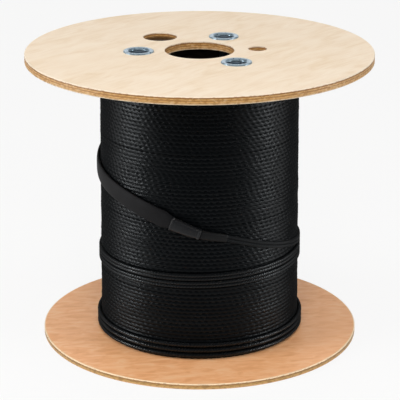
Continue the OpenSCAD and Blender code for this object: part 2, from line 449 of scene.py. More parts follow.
@dataclass(frozen=True)
class Plywood:
    """Sanded plywood: a grained face veneer, and stacked plies on every cut edge.

    Noises are in clouds per metre: along the grain, across it and through it on the faces,
    and along the three axes on the edges.

    Attributes:
        streak: Share of the fibres in the grain, beside the figure.
        veneer: Share of the thickness that each outer veneer takes.
        rim_highlight: Where the painted highlight along the rim starts and where it is full, inwards
            from the edge.
        holes_r: Distances from the drum's axis within which edges are torn fully, and at all.
        shaded_hole_r: Distances from the drive hole's axis within which its wall gets painted shade,
            likewise.
        hole_shade_level: Shares of the thickness where the painted shade starts to fade and ends.
    """

    name: str
    face: tuple[Colour, Colour, Colour]
    plies: tuple[Colour, ...]
    # Colours of the lower and the upper veneer; the upper one also paints the highlight along the rim.
    glue: Colour
    veneers_and_rim_highlight: tuple[Colour, Colour]
    roughness: float
    gloss: float
    grain_deg: float
    figure: Triple
    streak: float
    veneer: float
    fibre: Triple = (40.0, 620.0, 40.0)
    fleck: Triple = (75.0, 900.0, 75.0)
    cloud: float = 9.0
    pore: Triple = (240.0, 240.0, 520.0)
    tear: Triple = (70.0, 70.0, 900.0)
    waver: Triple = (22.0, 22.0, 60.0)
    waver_share: float = 0.06
    glue_share: float = 0.012
    relief: float = 0.25 * MM
    # Span of the painted highlight along the rim.
    rim_highlight: Pair = (1.76 * MM, 0.66 * MM)
    holes_r: Pair = (120 * MM, 130 * MM)
    # Painted shade in the drive hole: its reach, and the thickness over which it fades.
    shaded_hole_r: Pair = (22 * MM, 23 * MM)
    hole_shade_level: Pair = (0.3, 0.7)
    torn: Colour = (120, 76, 34)
    # Colour of the painted shade in the drive hole.
    hole_shade: Colour = (52, 34, 20)

    def ply_stops(self) -> list[tuple[float, Colour]]:
        """Lists an edge's colours: veneers outside, and glue lines between the plies.

        Returns:
            Shares of the thickness from the lower face up, with their colours.
        """
        veneer, line = self.veneer, self.glue_share
        lower, upper = self.veneers_and_rim_highlight
        step = (1 - 2 * veneer) / len(self.plies)
        stops = [(0.0, lower), (veneer - line, lower)]
        for i, ply in enumerate(self.plies):
            start = veneer + i * step
            stops += [(start, self.glue), (start + line, ply), (start + step - line, ply)]
        return stops + [(1 - veneer, self.glue), (1 - veneer + line, upper)]

    def face_tone(self, shader: Shader, fibre: Socket, rim_r: float) -> Socket:
        """Colours a face: figure with fibres, plain clouds, dark flecks and a painted highlight along
        the rim.

        Args:
            shader: The material.
            fibre: Noise of the fibres.
            rim_r: Radius of the flange.

        Returns:
            The colour.
        """
        place = shader.place["Object"]
        lying = shader.turned(place, -self.grain_deg)
        figure = shader.noise(lying, self.figure, detail=4.0, bend=0.7)
        plain = shader.sum(Op.MULTIPLY, figure, 1 - self.streak)
        grain = shader.sum(Op.MULTIPLY_ADD, fibre, self.streak, plain)
        dark, mid, light = self.face
        tone = shader.ramp(grain, [(0.36, dark), (0.5, mid), (0.64, light)])
        cloud = shader.noise(place, self.cloud, detail=2.0)
        tone = shader.stained(tone, mid, cloud, 0.45, 0.75, 0.0, 0.5)
        fleck = shader.noise(lying, self.fleck, detail=1.0)
        tone = shader.stained(tone, dark, fleck, 0.66, 0.78, 0.0, 0.35)
        # Painted highlight: near the rim's edge the face turns to the upper veneer's pale colour.
        highlight_span = [rim_r - inside for inside in self.rim_highlight]
        return shader.stained(tone, self.veneers_and_rim_highlight[1], shader.from_axis((0.0, 0.0)), *highlight_span)

    def edge_tone(self, shader: Shader, pore: Socket, level: Socket, shaded_hole: Pair) -> Socket:
        """Colours a cut edge: plies with pores, torn in the holes, and with painted shade darkening the
        drive hole's wall towards the bottom.

        Args:
            shader: The material.
            pore: Noise of the pores.
            level: Share of the thickness.
            shaded_hole: Axis of the drive hole, whose wall gets painted shade.

        Returns:
            The colour.
        """
        tone = shader.ramp(level, self.ply_stops())
        tone = shader.stained(tone, self.glue, pore, 0.5, 0.64, 0.0, 0.6)
        tone = shader.stained(tone, self.veneers_and_rim_highlight[0], pore, 0.46, 0.34, 0.0, 0.35)
        hole = shader.ranged(shader.from_axis((0.0, 0.0)), *self.holes_r, 1.0, 0.0)
        tear = shader.noise(shader.place["Object"], self.tear, detail=3.0, bend=0.5)
        torn = shader.sum(Op.MULTIPLY, hole, shader.ranged(tear, 0.4, 0.62, 0.04, 0.42))
        tone = shader.mixed(torn, tone, linear(self.torn))
        # Painted shade: the drive hole's wall darkens towards the bottom of the flange's thickness.
        near = shader.ranged(shader.from_axis(shaded_hole), *self.shaded_hole_r, 1.0, 0.0)
        hole_shade = shader.sum(Op.MULTIPLY, near, shader.ranged(level, *self.hole_shade_level, 0.85, 0.0))
        return shader.mixed(hole_shade, tone, linear(self.hole_shade))

    def material(self, low: Vector, high: Vector, shaded_hole: Pair) -> Material:
        """Builds the material: faces where the surface looks up or down, and plies elsewhere.

        Args:
            low: Lowest corner of the flange's box.
            high: Highest corner of it.
            shaded_hole: Axis of the drive hole, whose wall gets painted shade.

        Returns:
            The material.
        """
        shader = Shader(self.name)
        place = shader.place["Object"]
        fibre = shader.noise(shader.turned(place, -self.grain_deg), self.fibre, detail=3.0)
        pore = shader.noise(place, self.pore, detail=3.0)
        height = shader.sum(Op.SUBTRACT, shader.axes(place)[2], low.z)
        level = shader.sum(Op.DIVIDE, height, high.z - low.z)
        waver = shader.sum(Op.SUBTRACT, shader.noise(place, self.waver, detail=2.0), 0.5)
        level = shader.sum(Op.MULTIPLY_ADD, waver, self.waver_share, level)
        upright = shader.sum(Op.ABSOLUTE, shader.axes(shader.place["Normal"])[2])
        share = shader.ranged(upright, 0.5, 0.8)
        shader.bump(shader.mixed(share, pore, fibre), self.relief, strength=0.5)
        edge = self.edge_tone(shader, pore, level, shaded_hole)
        tone = shader.mixed(share, edge, self.face_tone(shader, fibre, high.x))
        rough = shader.varied(fibre, self.roughness, less=0.06, more=0.06)
        return shader.dress(Base_Color=tone, Roughness=rough, Specular_IOR_Level=self.gloss)


@dataclass(frozen=True)
class WoundBoard:
    """Board of the barrel, rolled on a slant so that its strips' seams climb as a helix."""

    name: str
    light: Colour
    dark: Colour
    strip: float
    seam: float = 0.03
    fibre: Triple = (90.0, 90.0, 260.0)
    relief: float = 0.3 * MM
    roughness: float = 0.85
    gloss: float = 0.2

    def material(self) -> Material:
        """Builds the material: seams where height plus angle passes a whole number of strips.

        Returns:
            The material.
        """
        shader = Shader(self.name)
        place = shader.place["Object"]
        x, y, z = shader.axes(place)
        angle = shader.sum(Op.DIVIDE, shader.sum(Op.ANGLE, y, x), TWO_PI)
        strips = shader.sum(Op.ADD, shader.sum(Op.DIVIDE, z, self.strip), angle)
        seam = shader.ranged(shader.sum(Op.FRACTION, strips), 0.0, self.seam, 1.0, 0.0)
        fibre = shader.noise(place, self.fibre, detail=4.0)
        tone = shader.ramp(fibre, [(0.35, self.dark), (0.65, self.light)])
        tone = shader.mixed(shader.sum(Op.MULTIPLY, seam, 0.7), tone, linear(self.dark))
        shader.bump(shader.sum(Op.SUBTRACT, fibre, seam), self.relief, strength=0.6)
        return shader.dress(Base_Color=tone, Roughness=self.roughness, Specular_IOR_Level=self.gloss)


@dataclass(frozen=True)
class PlatedSteel:
    """Plated steel with faint blotches and fine scratches, and painted shade where it lies sunk in a
    flange.
    """

    name: str
    light: Colour
    dark: Colour
    # Colour of the painted shade deep in the flange.
    recess_shade: Colour
    roughness: float
    metal: float
    recess_shade_depth: Pair = (1.2 * MM, 4.5 * MM)
    blotch: float = 260.0
    scratch: Triple = (700.0, 700.0, 3200.0)
    relief: float = 0.03 * MM

    def material(self) -> Material:
        """Builds the material: the depth of its painted shade is counted inwards from the drum's two end
        faces.

        Returns:
            The material.
        """
        shader = Shader(self.name)
        place = shader.place["Object"]
        blotch = shader.noise(place, self.blotch, detail=3.0, bend=0.6)
        tone = shader.ramp(blotch, list(zip(NOISE_SPAN, (self.dark, self.light))))
        half = (CAD_BOX[1].z - CAD_BOX[0].z) / 2
        from_middle = shader.sum(Op.SUBTRACT, shader.axes(place)[2], CAD_BOX[0].z + half)
        depth = shader.sum(Op.SUBTRACT, half, shader.sum(Op.ABSOLUTE, from_middle))
        # Painted shade: darker deeper inside the flange, as in the cups' hollows.
        tone = shader.stained(tone, self.recess_shade, depth, *self.recess_shade_depth)
        rough = shader.varied(blotch, self.roughness, less=0.07, more=0.1)
        shader.bump(shader.noise(place, self.scratch, detail=2.0), self.relief, strength=0.5)
        return shader.dress(Base_Color=tone, Roughness=rough, Metallic=self.metal)


@dataclass(frozen=True)
class BraidedJacket:
    """Black cable jacket: crossing threads on the beads of the lay, and gaps at their waists.

    Attributes:
        ribs: Waists to a bead.
        lean: How many times the lay's slant the waists lean.
        open_sides: True where the gaps open at the sides of a turn only.
        gap: Shares of a waist where a gap starts and where it is fully matte.
        dull_beads: How many beads at the strand's start are dull.
        graze: The same as gap, for how slantwise the surface is seen.
    """

    name: str
    light: Colour
    dark: Colour
    ribs: float
    lean: float
    open_sides: bool
    roughness: float
    gloss: float
    gap: Pair
    dull_beads: float = 0.0
    # Share of painted shade in the gaps of a strand with open sides.
    gap_shade: float = 0.3
    graze: Pair = (0.34, 0.62)
    threads_along: float = 6.0
    threads_round: float = 5.0
    cloud: float = 55.0
    relief: float = 0.05 * MM
    sheen: tuple[float, float, float, float] = (0.9, 0.96, 1.0, 1.0)

    def thread(self, shader: Shader, along: Socket, across: Socket) -> Socket:
        """Height of the threads: |sin(a)| |sin(b)| on two slanted families.

        Args:
            shader: The material.
            along: Beads along the strand.
            across: Share of the way across its seen face.

        Returns:
            The height, from 0 to 1.
        """
        a = shader.sum(Op.MULTIPLY, along, self.threads_along * math.pi)
        b = shader.sum(Op.MULTIPLY, across, self.threads_round * math.pi)
        slanted = [shader.sum(Op.SINE, shader.sum(op, a, b)) for op in (Op.ADD, Op.SUBTRACT)]
        return shader.sum(Op.MULTIPLY, *(shader.sum(Op.ABSOLUTE, wave) for wave in slanted))

    def waist(self, shader: Shader, along: Socket, across: Socket) -> Socket:
        """Waists between the ribs: half of one minus the cosine of the slanted way along.

        On a strand with open sides they grow with the square of the distance from its crest.

        Args:
            shader: The material.
            along: Beads along the strand.
            across: Share of the way across its seen face.

        Returns:
            0 at a belly and 1 at a waist.
        """
        off_crest = shader.sum(Op.MULTIPLY_ADD, across, 2.0, -1.0)
        count = shader.sum(Op.MULTIPLY, along, self.ribs)
        twist = shader.sum(Op.MULTIPLY_ADD, off_crest, LAY.slant * self.lean, count)
        wave = shader.sum(Op.COSINE, shader.sum(Op.MULTIPLY, twist, TWO_PI))
        waist = shader.sum(Op.MULTIPLY_ADD, wave, -0.5, 0.5)
        if self.open_sides:
            return shader.sum(Op.MULTIPLY, waist, shader.sum(Op.MULTIPLY, off_crest, off_crest))
        return waist

    def material(self) -> Material:
        """Builds the material on the strand's own pattern.

        It is matte in the gaps, where the surface is seen at a slant and on the dull beads
        that the strand starts with.

        Returns:
            The material.
        """
        shader = Shader(self.name)
        along, across, _ = shader.axes(shader.place["UV"])
        thread = self.thread(shader, along, across)
        waist = self.waist(shader, along, across)
        cloud = shader.noise(shader.place["Object"], self.cloud, detail=3.0)
        # Painted shade: the tone darkens in the hollows between the threads.
        tone = shader.ramp(thread, [(0.05, self.dark), (0.7, self.light)])
        tone = shader.stained(tone, self.dark, cloud, 0.4, 0.7, 0.0, 0.45)
        # Painted shade: the gaps at the waists are darkened.
        if self.open_sides:
            tone = shader.stained(tone, self.dark, waist, *self.gap, 0.0, self.gap_shade)
        facing = shader.node("ShaderNodeLayerWeight", {"Blend": 0.5}).outputs["Facing"]
        matte = [shader.ranged(waist, *self.gap), shader.ranged(facing, *self.graze)]
        if self.dull_beads:
            matte += [shader.ranged(along, self.dull_beads, 1.4 * self.dull_beads, 0.75, 0.0)]
        rough = shader.varied(cloud, self.roughness, less=0.06, more=0.08)
        for share in matte:
            rough = shader.sum(Op.MAXIMUM, rough, share)
        shader.bump(thread, self.relief, strength=0.8)
        return shader.dress(
            Base_Color=tone, Roughness=rough, Specular_IOR_Level=self.gloss, Specular_Tint=self.sheen
        )


@dataclass(frozen=True)
class ShrunkTube:
    """Satin black tube shrunk on the cable, with faint pulls along it."""

    name: str
    light: Colour
    dark: Colour
    roughness: float
    gloss: float
    pull: Triple = (2.0, 26.0, 1.0)
    grain: float = 1500.0
    relief: float = 0.3 * MM

    def material(self) -> Material:
        """Builds the material: pulls along the piece's own pattern, under a fine grain.

        Returns:
            The material.
        """
        shader = Shader(self.name)
        pull = shader.noise(shader.place["UV"], self.pull, detail=3.0)
        grain = shader.noise(shader.place["Object"], self.grain, detail=2.0)
        tone = shader.ramp(pull, list(zip(NOISE_SPAN, (self.dark, self.light))))
        rough = shader.varied(grain, self.roughness, less=0.06, more=0.06)
        shader.bump(shader.sum(Op.MULTIPLY_ADD, grain, 0.3, pull), self.relief, strength=0.6)
        return shader.dress(Base_Color=tone, Roughness=rough, Specular_IOR_Level=self.gloss)


@dataclass(frozen=True)
class FineWeave:
    """Matte black woven sleeve: warp and weft threads on the sleeve's own pattern."""

    name: str
    light: Colour
    dark: Colour
    warp: float
    weft: float
    cloud: float = 60.0
    relief: float = 0.1 * MM
    roughness: float = 0.7
    gloss: float = 0.15

    def material(self) -> Material:
        """Builds the material: height is the larger of the warp's and the weft's sine waves.

        Returns:
            The material.
        """
        shader = Shader(self.name)
        along, across, _ = shader.axes(shader.place["UV"])
        weft = shader.sum(Op.SINE, shader.sum(Op.MULTIPLY, along, TWO_PI * self.weft))
        warp = shader.sum(Op.SINE, shader.sum(Op.MULTIPLY, across, TWO_PI * self.warp))
        thread = shader.ranged(shader.sum(Op.MAXIMUM, weft, warp), -1.0, 1.0)
        cloud = shader.noise(shader.place["Object"], self.cloud, detail=3.0)
        tone = shader.ramp(cloud, [(0.35, self.dark), (0.65, self.light)])
        # Painted shade: darker in the hollows between warp and weft.
        tone = shader.stained(tone, self.dark, thread, 0.2, 0.8, 0.4, 0.0)
        shader.bump(thread, self.relief, strength=0.6)
        return shader.dress(Base_Color=tone, Roughness=self.roughness, Specular_IOR_Level=self.gloss)


TOP_PLYWOOD = Plywood(
    "top_flange_plywood",
    face=((236, 211, 178), (244, 223, 196), (248, 230, 206)),
    plies=((206, 162, 104), (212, 166, 104), (178, 130, 72), (212, 166, 104), (152, 106, 54)),
    glue=(158, 108, 58), veneers_and_rim_highlight=((232, 206, 172), (247, 230, 206)), roughness=0.55, gloss=0.3,
    grain_deg=50.0, figure=(22.0, 66.0, 22.0), streak=0.4, veneer=0.13,
)
LOW_PLYWOOD = Plywood(
    "bottom_flange_plywood",
    face=((236, 167, 113), (249, 185, 132), (253, 199, 151)),
    plies=((204, 164, 104), (186, 146, 88), (156, 116, 70)),
    glue=(140, 104, 62), veneers_and_rim_highlight=((214, 164, 114), (255, 228, 190)), roughness=0.5, gloss=0.38,
    grain_deg=8.0, figure=(50.0, 130.0, 50.0), streak=0.3, veneer=0.2,
)
# Board colours, darkened as painted shade for the dim inside of the bore.
BOARD = WoundBoard("barrel_board", light=(52, 43, 34), dark=(30, 25, 20), strip=90 * MM)
ZINC = PlatedSteel(
    "zinc_plate", light=(174, 194, 207), dark=(136, 158, 173), recess_shade=(26, 48, 63),
    roughness=0.32, metal=0.75,
)
STEEL = PlatedSteel(
    "dark_steel", light=(58, 80, 96), dark=(44, 62, 76), recess_shade=(50, 70, 84),
    roughness=0.55, metal=0.5,
)
JACKET = BraidedJacket(
    "cable_jacket", light=(9, 11, 13), dark=(1, 2, 3), ribs=1.0, lean=1.0, open_sides=True,
    roughness=0.27, gloss=0.12, gap=(0.1, 0.34),
)
STRAND = BraidedJacket(
    "strand_jacket", light=(10, 12, 14), dark=(2, 3, 4), ribs=2.0, lean=2.2, open_sides=False,
    roughness=0.25, gloss=0.3, gap=(0.6, 1.0), dull_beads=22.0,
)
TUBE = ShrunkTube("shrink_tube", light=(30, 31, 33), dark=(19, 20, 22), roughness=0.38, gloss=0.26)
NARROW_TUBE = ShrunkTube(
    "narrow_shrink_tube", light=(22, 23, 24), dark=(13, 14, 15), roughness=0.45, gloss=0.16
)
WEAVE = FineWeave("sleeve_weave", light=(22, 22, 24), dark=(14, 14, 16), warp=40.0, weft=1.0)


@dataclass(frozen=True)
class Woodwork:
    """The two flanges and the barrel, which keep their solids and get their finish."""

    flanges: tuple[tuple[str, Plywood], ...] = (("top", TOP_PLYWOOD), ("bottom", LOW_PLYWOOD))

    def dress(self) -> None:
        """Assigns the finishes to the solids' own slots."""
        places = {mount["name"]: mount["pos_m"] for mount in frame["record"]["mounts"]}
        for end, plywood in self.flanges:
            # Axis of the drive hole, whose wall gets painted shade.
            shaded_hole = tuple(places[f"drive_hole_{end}"][:2])
            self.assign(f"{end}_flange", plywood.material(*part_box(f"{end}_flange"), shaded_hole))
        self.assign("barrel", BOARD.material())

    def assign(self, node: str, material: Material) -> None:
        """Puts a finish on one solid."""
        frame["nodes"][node].material_slots[0].material = material
        LOG.info("%s: finished as %s", node, material.name)


@dataclass(frozen=True)
class TieRods:
    """Three rods with a cup washer and a hex nut in each flange."""

    count: int = 3
    cup_d: float = 22 * MM
    cup_wall: float = 1.6 * MM
    cup_depth: float = 9 * MM
    cup_lip: float = 1.28 * MM
    cup_mouth: float = 3.2 * MM
    cup_fillet: float = 0.36 * MM
    cup_columns: int = 72
    rod_d: float = 10 * MM
    rod_gap: float = 0.1 * MM
    rod_bevel: float = 0.8 * MM
    rod_columns: int = 24
    nut_af: float = 16 * MM
    nut_bevel: float = 1.3 * MM
    nut_bevel_in: float = 1.43 * MM
    nut_bevel_curve: float = 0.7
    nut_bevel_rows: tuple[float, ...] = (0.0, 0.25, 0.5, 1.0)
    nut_chamfer: float = 0.6 * MM
    nut_columns: int = 96
    thread_pitch: float = 1.5 * MM
    thread_depth: float = 0.6 * MM
    thread_length: float = 24 * MM
    thread_fade: float = 4.5 * MM
    thread_rows: int = 6

    @property
    def bore_r(self) -> float:
        """Radius of the holes that the rods go through."""
        return self.rod_d / 2 + self.rod_gap

    def axis(self, node: str) -> Pair:
        """Finds the upright axis of a solid from its box."""
        low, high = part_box(node)
        return (low.x + high.x) / 2, (low.y + high.y) / 2

    def cup(self, node: str, flipped: bool) -> Patch:
        """Turns a cup: floor, rounded bend, wall and a rim with rounded edges.

        Args:
            node: The cup's solid, which gives its place and its rim.
            flipped: True for a cup that opens downwards.

        Returns:
            The closed surface.
        """
        low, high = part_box(node)
        wall, depth, lip, mouth = self.cup_wall, self.cup_depth, self.cup_lip, self.cup_mouth
        seat = (low.z + wall) if flipped else (high.z - wall)
        rim_r, inner_r = (high.x - low.x) / 2, self.cup_d / 2
        profile = np.concatenate([
            [[self.bore_r, -depth - wall]],
            arc((inner_r, -depth), wall, -90, 0, 8),
            [[inner_r + wall, 0.0], [rim_r, 0.0]],
            arc((rim_r - lip, wall - lip), lip, 0, 90, 6),
            arc((inner_r + mouth, wall - mouth), mouth, 90, 180, 12),
            [[inner_r, self.cup_fillet - depth], [inner_r - self.cup_fillet, -depth]],
            [[self.bore_r, -depth]],
        ])
        if flipped:
            profile = (profile * [1, -1])[::-1]
        return revolved((profile + [0, seat])[:, None], self.cup_columns, self.axis(node))

    def nut(self, node: str) -> Patch:
        """Turns a hex nut: the radius is the smaller of the hexagon and a bevel's cone.

        Args:
            node: The nut's solid, which gives its place and height.

        Returns:
            The closed surface.
        """
        low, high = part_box(node)
        x, y = self.axis(node)
        sector = np.mod(circle(self.nut_columns) - math.atan2(y, x), np.pi / 3) - np.pi / 6
        hexagon = self.nut_af / 2 / np.cos(sector)
        corner = self.nut_af / 2 / math.cos(math.pi / 6)
        level = np.array(self.nut_bevel_rows)
        cone = corner - self.nut_bevel_in * (1 - level) ** self.nut_bevel_curve
        outside = np.minimum(np.concatenate([cone, cone[::-1]])[:, None], hexagon)
        bore = np.full((1, self.nut_columns), self.bore_r)
        mouth = bore + self.nut_chamfer
        radius = np.concatenate([mouth, outside, mouth, bore, bore])
        rise, span = level * self.nut_bevel, high.z - low.z
        inside = [span, span - self.nut_chamfer, self.nut_chamfer]
        height = np.concatenate([[0.0], rise, span - rise[::-1], inside])
        return revolved(joined(radius, low.z + height[:, None]), self.nut_columns, (x, y))

    def rod(self, node: str) -> Patch:
        """Sweeps a rod: its radius less a thread's triangle wave of height plus angle at both ends.

        Args:
            node: The rod's solid, which gives its place and height.

        Returns:
            The capped surface.
        """
        low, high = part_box(node)
        x, y = self.axis(node)
        end = np.arange(0.0, self.thread_length, self.thread_pitch / self.thread_rows)
        z = np.concatenate([low.z + end, (high.z - end)[::-1]])[:, None]
        angle = circle(self.rod_columns)
        wave = np.abs(np.mod(z / self.thread_pitch - angle / TWO_PI, 1) * 2 - 1)
        inside = np.minimum(z - low.z, high.z - z)
        fade = np.clip((self.thread_length - inside) / self.thread_fade, 0, 1)
        bevel = np.clip(1 - inside / self.rod_bevel, 0, 1) * self.rod_bevel
        radius = self.rod_d / 2 - bevel - self.thread_depth * wave * fade
        points = joined(x + radius * np.cos(angle), y + radius * np.sin(angle), z)
        return Patch(points, np.zeros((len(z), self.rod_columns + 1, 2)), capped=True)

    def build(self) -> None:
        """Builds every rod with its cups and nuts."""
        zinc, steel = ZINC.material(), STEEL.material()
        for i in range(1, self.count + 1):
            for end, flipped in (("top", False), ("bottom", True)):
                cup, nut = f"{end}_cup_{i}", f"{end}_nut_{i}"
                add_piece(f"{end}_cup_washer_{i}", self.cup(cup, flipped), zinc, cup)
                hex_nut = self.nut(nut)
                add_piece(f"{end}_hex_nut_{i}", hex_nut, steel, nut, Edges.CRISP)
            rod = f"tie_rod_{i}"
            add_piece(f"threaded_rod_{i}", self.rod(rod), steel, rod)


@dataclass(frozen=True)
class Winding:
    """The close layers of cable, turn beside turn."""

    low_z: float
    high_z: float
    barrel_r: float
    barrel_gap: float = 0.2 * MM
    flange_gap: float = 0.3 * MM
    depth_low: float = 11.5 * MM
    depth_high: float = 8.7 * MM
    turns: int = 71
    runs: int = 4
    beads: int = 100
    columns_per_bead: int = 5
    rows_per_turn: int = 8
    groove_foot: float = 0.38 * MM
    groove_top: float = 0.1 * MM
    groove_waist: float = 1.0 * MM
    groove_power: float = 2.2
    layers_low: int = 3
    layers_high: int = 2
    layer_rows: int = 5
    layer_reach: float = 0.85
    end_inset: float = 0.5 * MM
    cut_inset: float = 1.0 * MM
    twill: float = 0.44
    drift: float = 0.04
    stray: float = 0.6
    unevenness: float = 0.28 * MM
    own_sway: float = 0.5
    shared_sway: float = 0.4
    sway_waves: tuple[int, ...] = (1, 2, 3, 5)
    sway_lean: Pair = (0.3, 0.9)
    seed: int = 11

    @property
    def bore_r(self) -> float:
        """Radius of the winding's bore, just clear of the barrel."""
        return self.barrel_r + self.barrel_gap

    def tapered(self, z: Array, low: float, high: float) -> Array:
        """A size at a height that changes evenly from the bottom to the top."""
        return low + (high - low) * (z - self.low_z) / (self.high_z - self.low_z)

    def radius(self, z: Array) -> Array:
        """Outer radius at a height: a straight taper from the bottom to the top."""
        return self.bore_r + self.tapered(z, self.depth_low, self.depth_high)

    def waver(self, turn: Array, angle: Array, own_share: float) -> Array:
        """Slow unevenness of the turns: a few sine waves of seeded phase in angle and turn.

        Args:
            turn: Turn numbers, rows by 1.
            angle: Angles round the drum in radians, columns.
            own_share: Share of a turn's own, unshared part.

        Returns:
            Rows by columns, about -1 to 1.
        """
        draw = np.random.default_rng(self.seed)
        total = np.zeros(np.broadcast_shapes(turn.shape, angle.shape))
        for waves in self.sway_waves:
            phase, _ = draw.uniform(0, TWO_PI, 2)
            total = total + np.sin(waves * angle + phase + turn * draw.uniform(*self.sway_lean)) / waves
        own = draw.uniform(-1, 1, self.turns)[turn]
        return self.shared_sway * total + own_share * own

    def side(self, first: int, last: int, trench: Trench) -> tuple[Array, Array]:
        """Outer rows of a run of turns.

        Each turn is a ridge whose depth below the crest grows as a power of the distance
        from its middle. The groove between two turns is shallow where their bellies touch
        and deep between their waists. A slow waver moves each turn a little.

        Args:
            first: First turn.
            last: Turn after the last one.
            trench: How far the turns give way, by angle and height.

        Returns:
            Rows by columns by 2 of radius and height, and rows by columns + 1 by 2 of pattern.
        """
        columns = self.beads * self.columns_per_bead
        pitch = (self.high_z - self.low_z - 2 * self.flange_gap) / self.turns
        rows = np.arange((last - first) * self.rows_per_turn + 1)[:, None]
        turn = np.minimum(first + rows // self.rows_per_turn, last - 1)
        across = 2 * (first + rows / self.rows_per_turn - turn) - 1
        column = np.arange(columns + 1)
        angle = column * TWO_PI / columns
        drift = np.random.default_rng(self.seed + 1).normal(self.twill, self.drift, self.turns)
        strayed = drift.cumsum()[turn] + self.stray * self.waver(turn, angle, 0.0)
        along = column / self.columns_per_bead + strayed
        waist = LAY.narrowing(along, across)
        level = self.low_z + self.flange_gap + pitch * (turn + 0.5 + across / 2)
        height = np.broadcast_to(level, along.shape)
        belly = self.tapered(height, self.groove_foot, self.groove_top)
        groove = belly + (self.groove_waist - belly) * waist
        depth = groove * np.abs(across) ** self.groove_power + LAY.waist * waist
        sway = self.unevenness * self.waver(turn, angle, self.own_sway) * (1 - across ** 2)
        from_front = np.mod(np.degrees(angle) + (FRONT_TURN + HALF_TURN), FULL_TURN) - HALF_TURN
        radius = self.radius(height) - depth + sway - trench(from_front, height)
        return joined(radius, height)[:, :-1], joined(along, across / 2 + 0.5)

    def end(self, outer: float, up: bool) -> Array:
        """Rows across one end of the winding, with a round ridge for each layer.

        Args:
            outer: Radius where the end meets the outermost turn.
            up: True for the top end.

        Returns:
            Rows by 2 of radius and height, from the bore outwards.
        """
        layers = self.layers_high if up else self.layers_low
        width = (outer - self.end_inset - self.bore_r) / layers
        share = np.linspace(-self.layer_reach, self.layer_reach, self.layer_rows)
        middle = self.bore_r + width * (np.arange(layers) + 0.5)
        radius = (middle[:, None] + share * width / 2).ravel()
        sink = self.flange_gap + np.tile(LAY.diameter / 2 * (1 - np.sqrt(1 - share ** 2)), layers)
        return joined(radius, self.high_z - sink if up else self.low_z + sink)

    def band(self, first: int, last: int, trench: Trench) -> Patch:
        """Closes a run of turns to a ring: lower end, outer turns, upper end and the bore.

        Args:
            first: First turn.
            last: Turn after the last one.
            trench: How far the turns give way, by angle and height.

        Returns:
            The closed surface.
        """
        side, pattern = self.side(first, last, trench)
        columns = side.shape[1]
        ends = []
        for row, up, outermost in ((side[0], False, first == 0), (side[-1], True, last == self.turns)):
            outer, z = row[:, 0].min(), row[0, 1]
            cut = np.array([[self.bore_r, z], [outer - self.cut_inset, z]])
            rows = self.end(outer, up) if outermost else cut
            ends.append(np.repeat(rows[:, None], columns, axis=1))
        under, over = ends
        patch = revolved(np.concatenate([under, side, over[::-1]]), columns)
        patch.uv[len(under):len(under) + len(side)] = pattern
        return patch

    def build(self, material: Material, trench: Trench) -> None:
        """Builds the winding as runs of turns, one above the other.

        Args:
            material: Its finish.
            trench: How far the turns give way, by angle and height.
        """
        ends = np.linspace(0, self.turns, self.runs + 1).astype(int).tolist()
        for i, (first, last) in enumerate(zip(ends, ends[1:]), 1):
            band = self.band(first, last, trench)
            add_piece(
                f"winding_run_{i}", band, material, "cable_winding", Edges.SOFT
            )


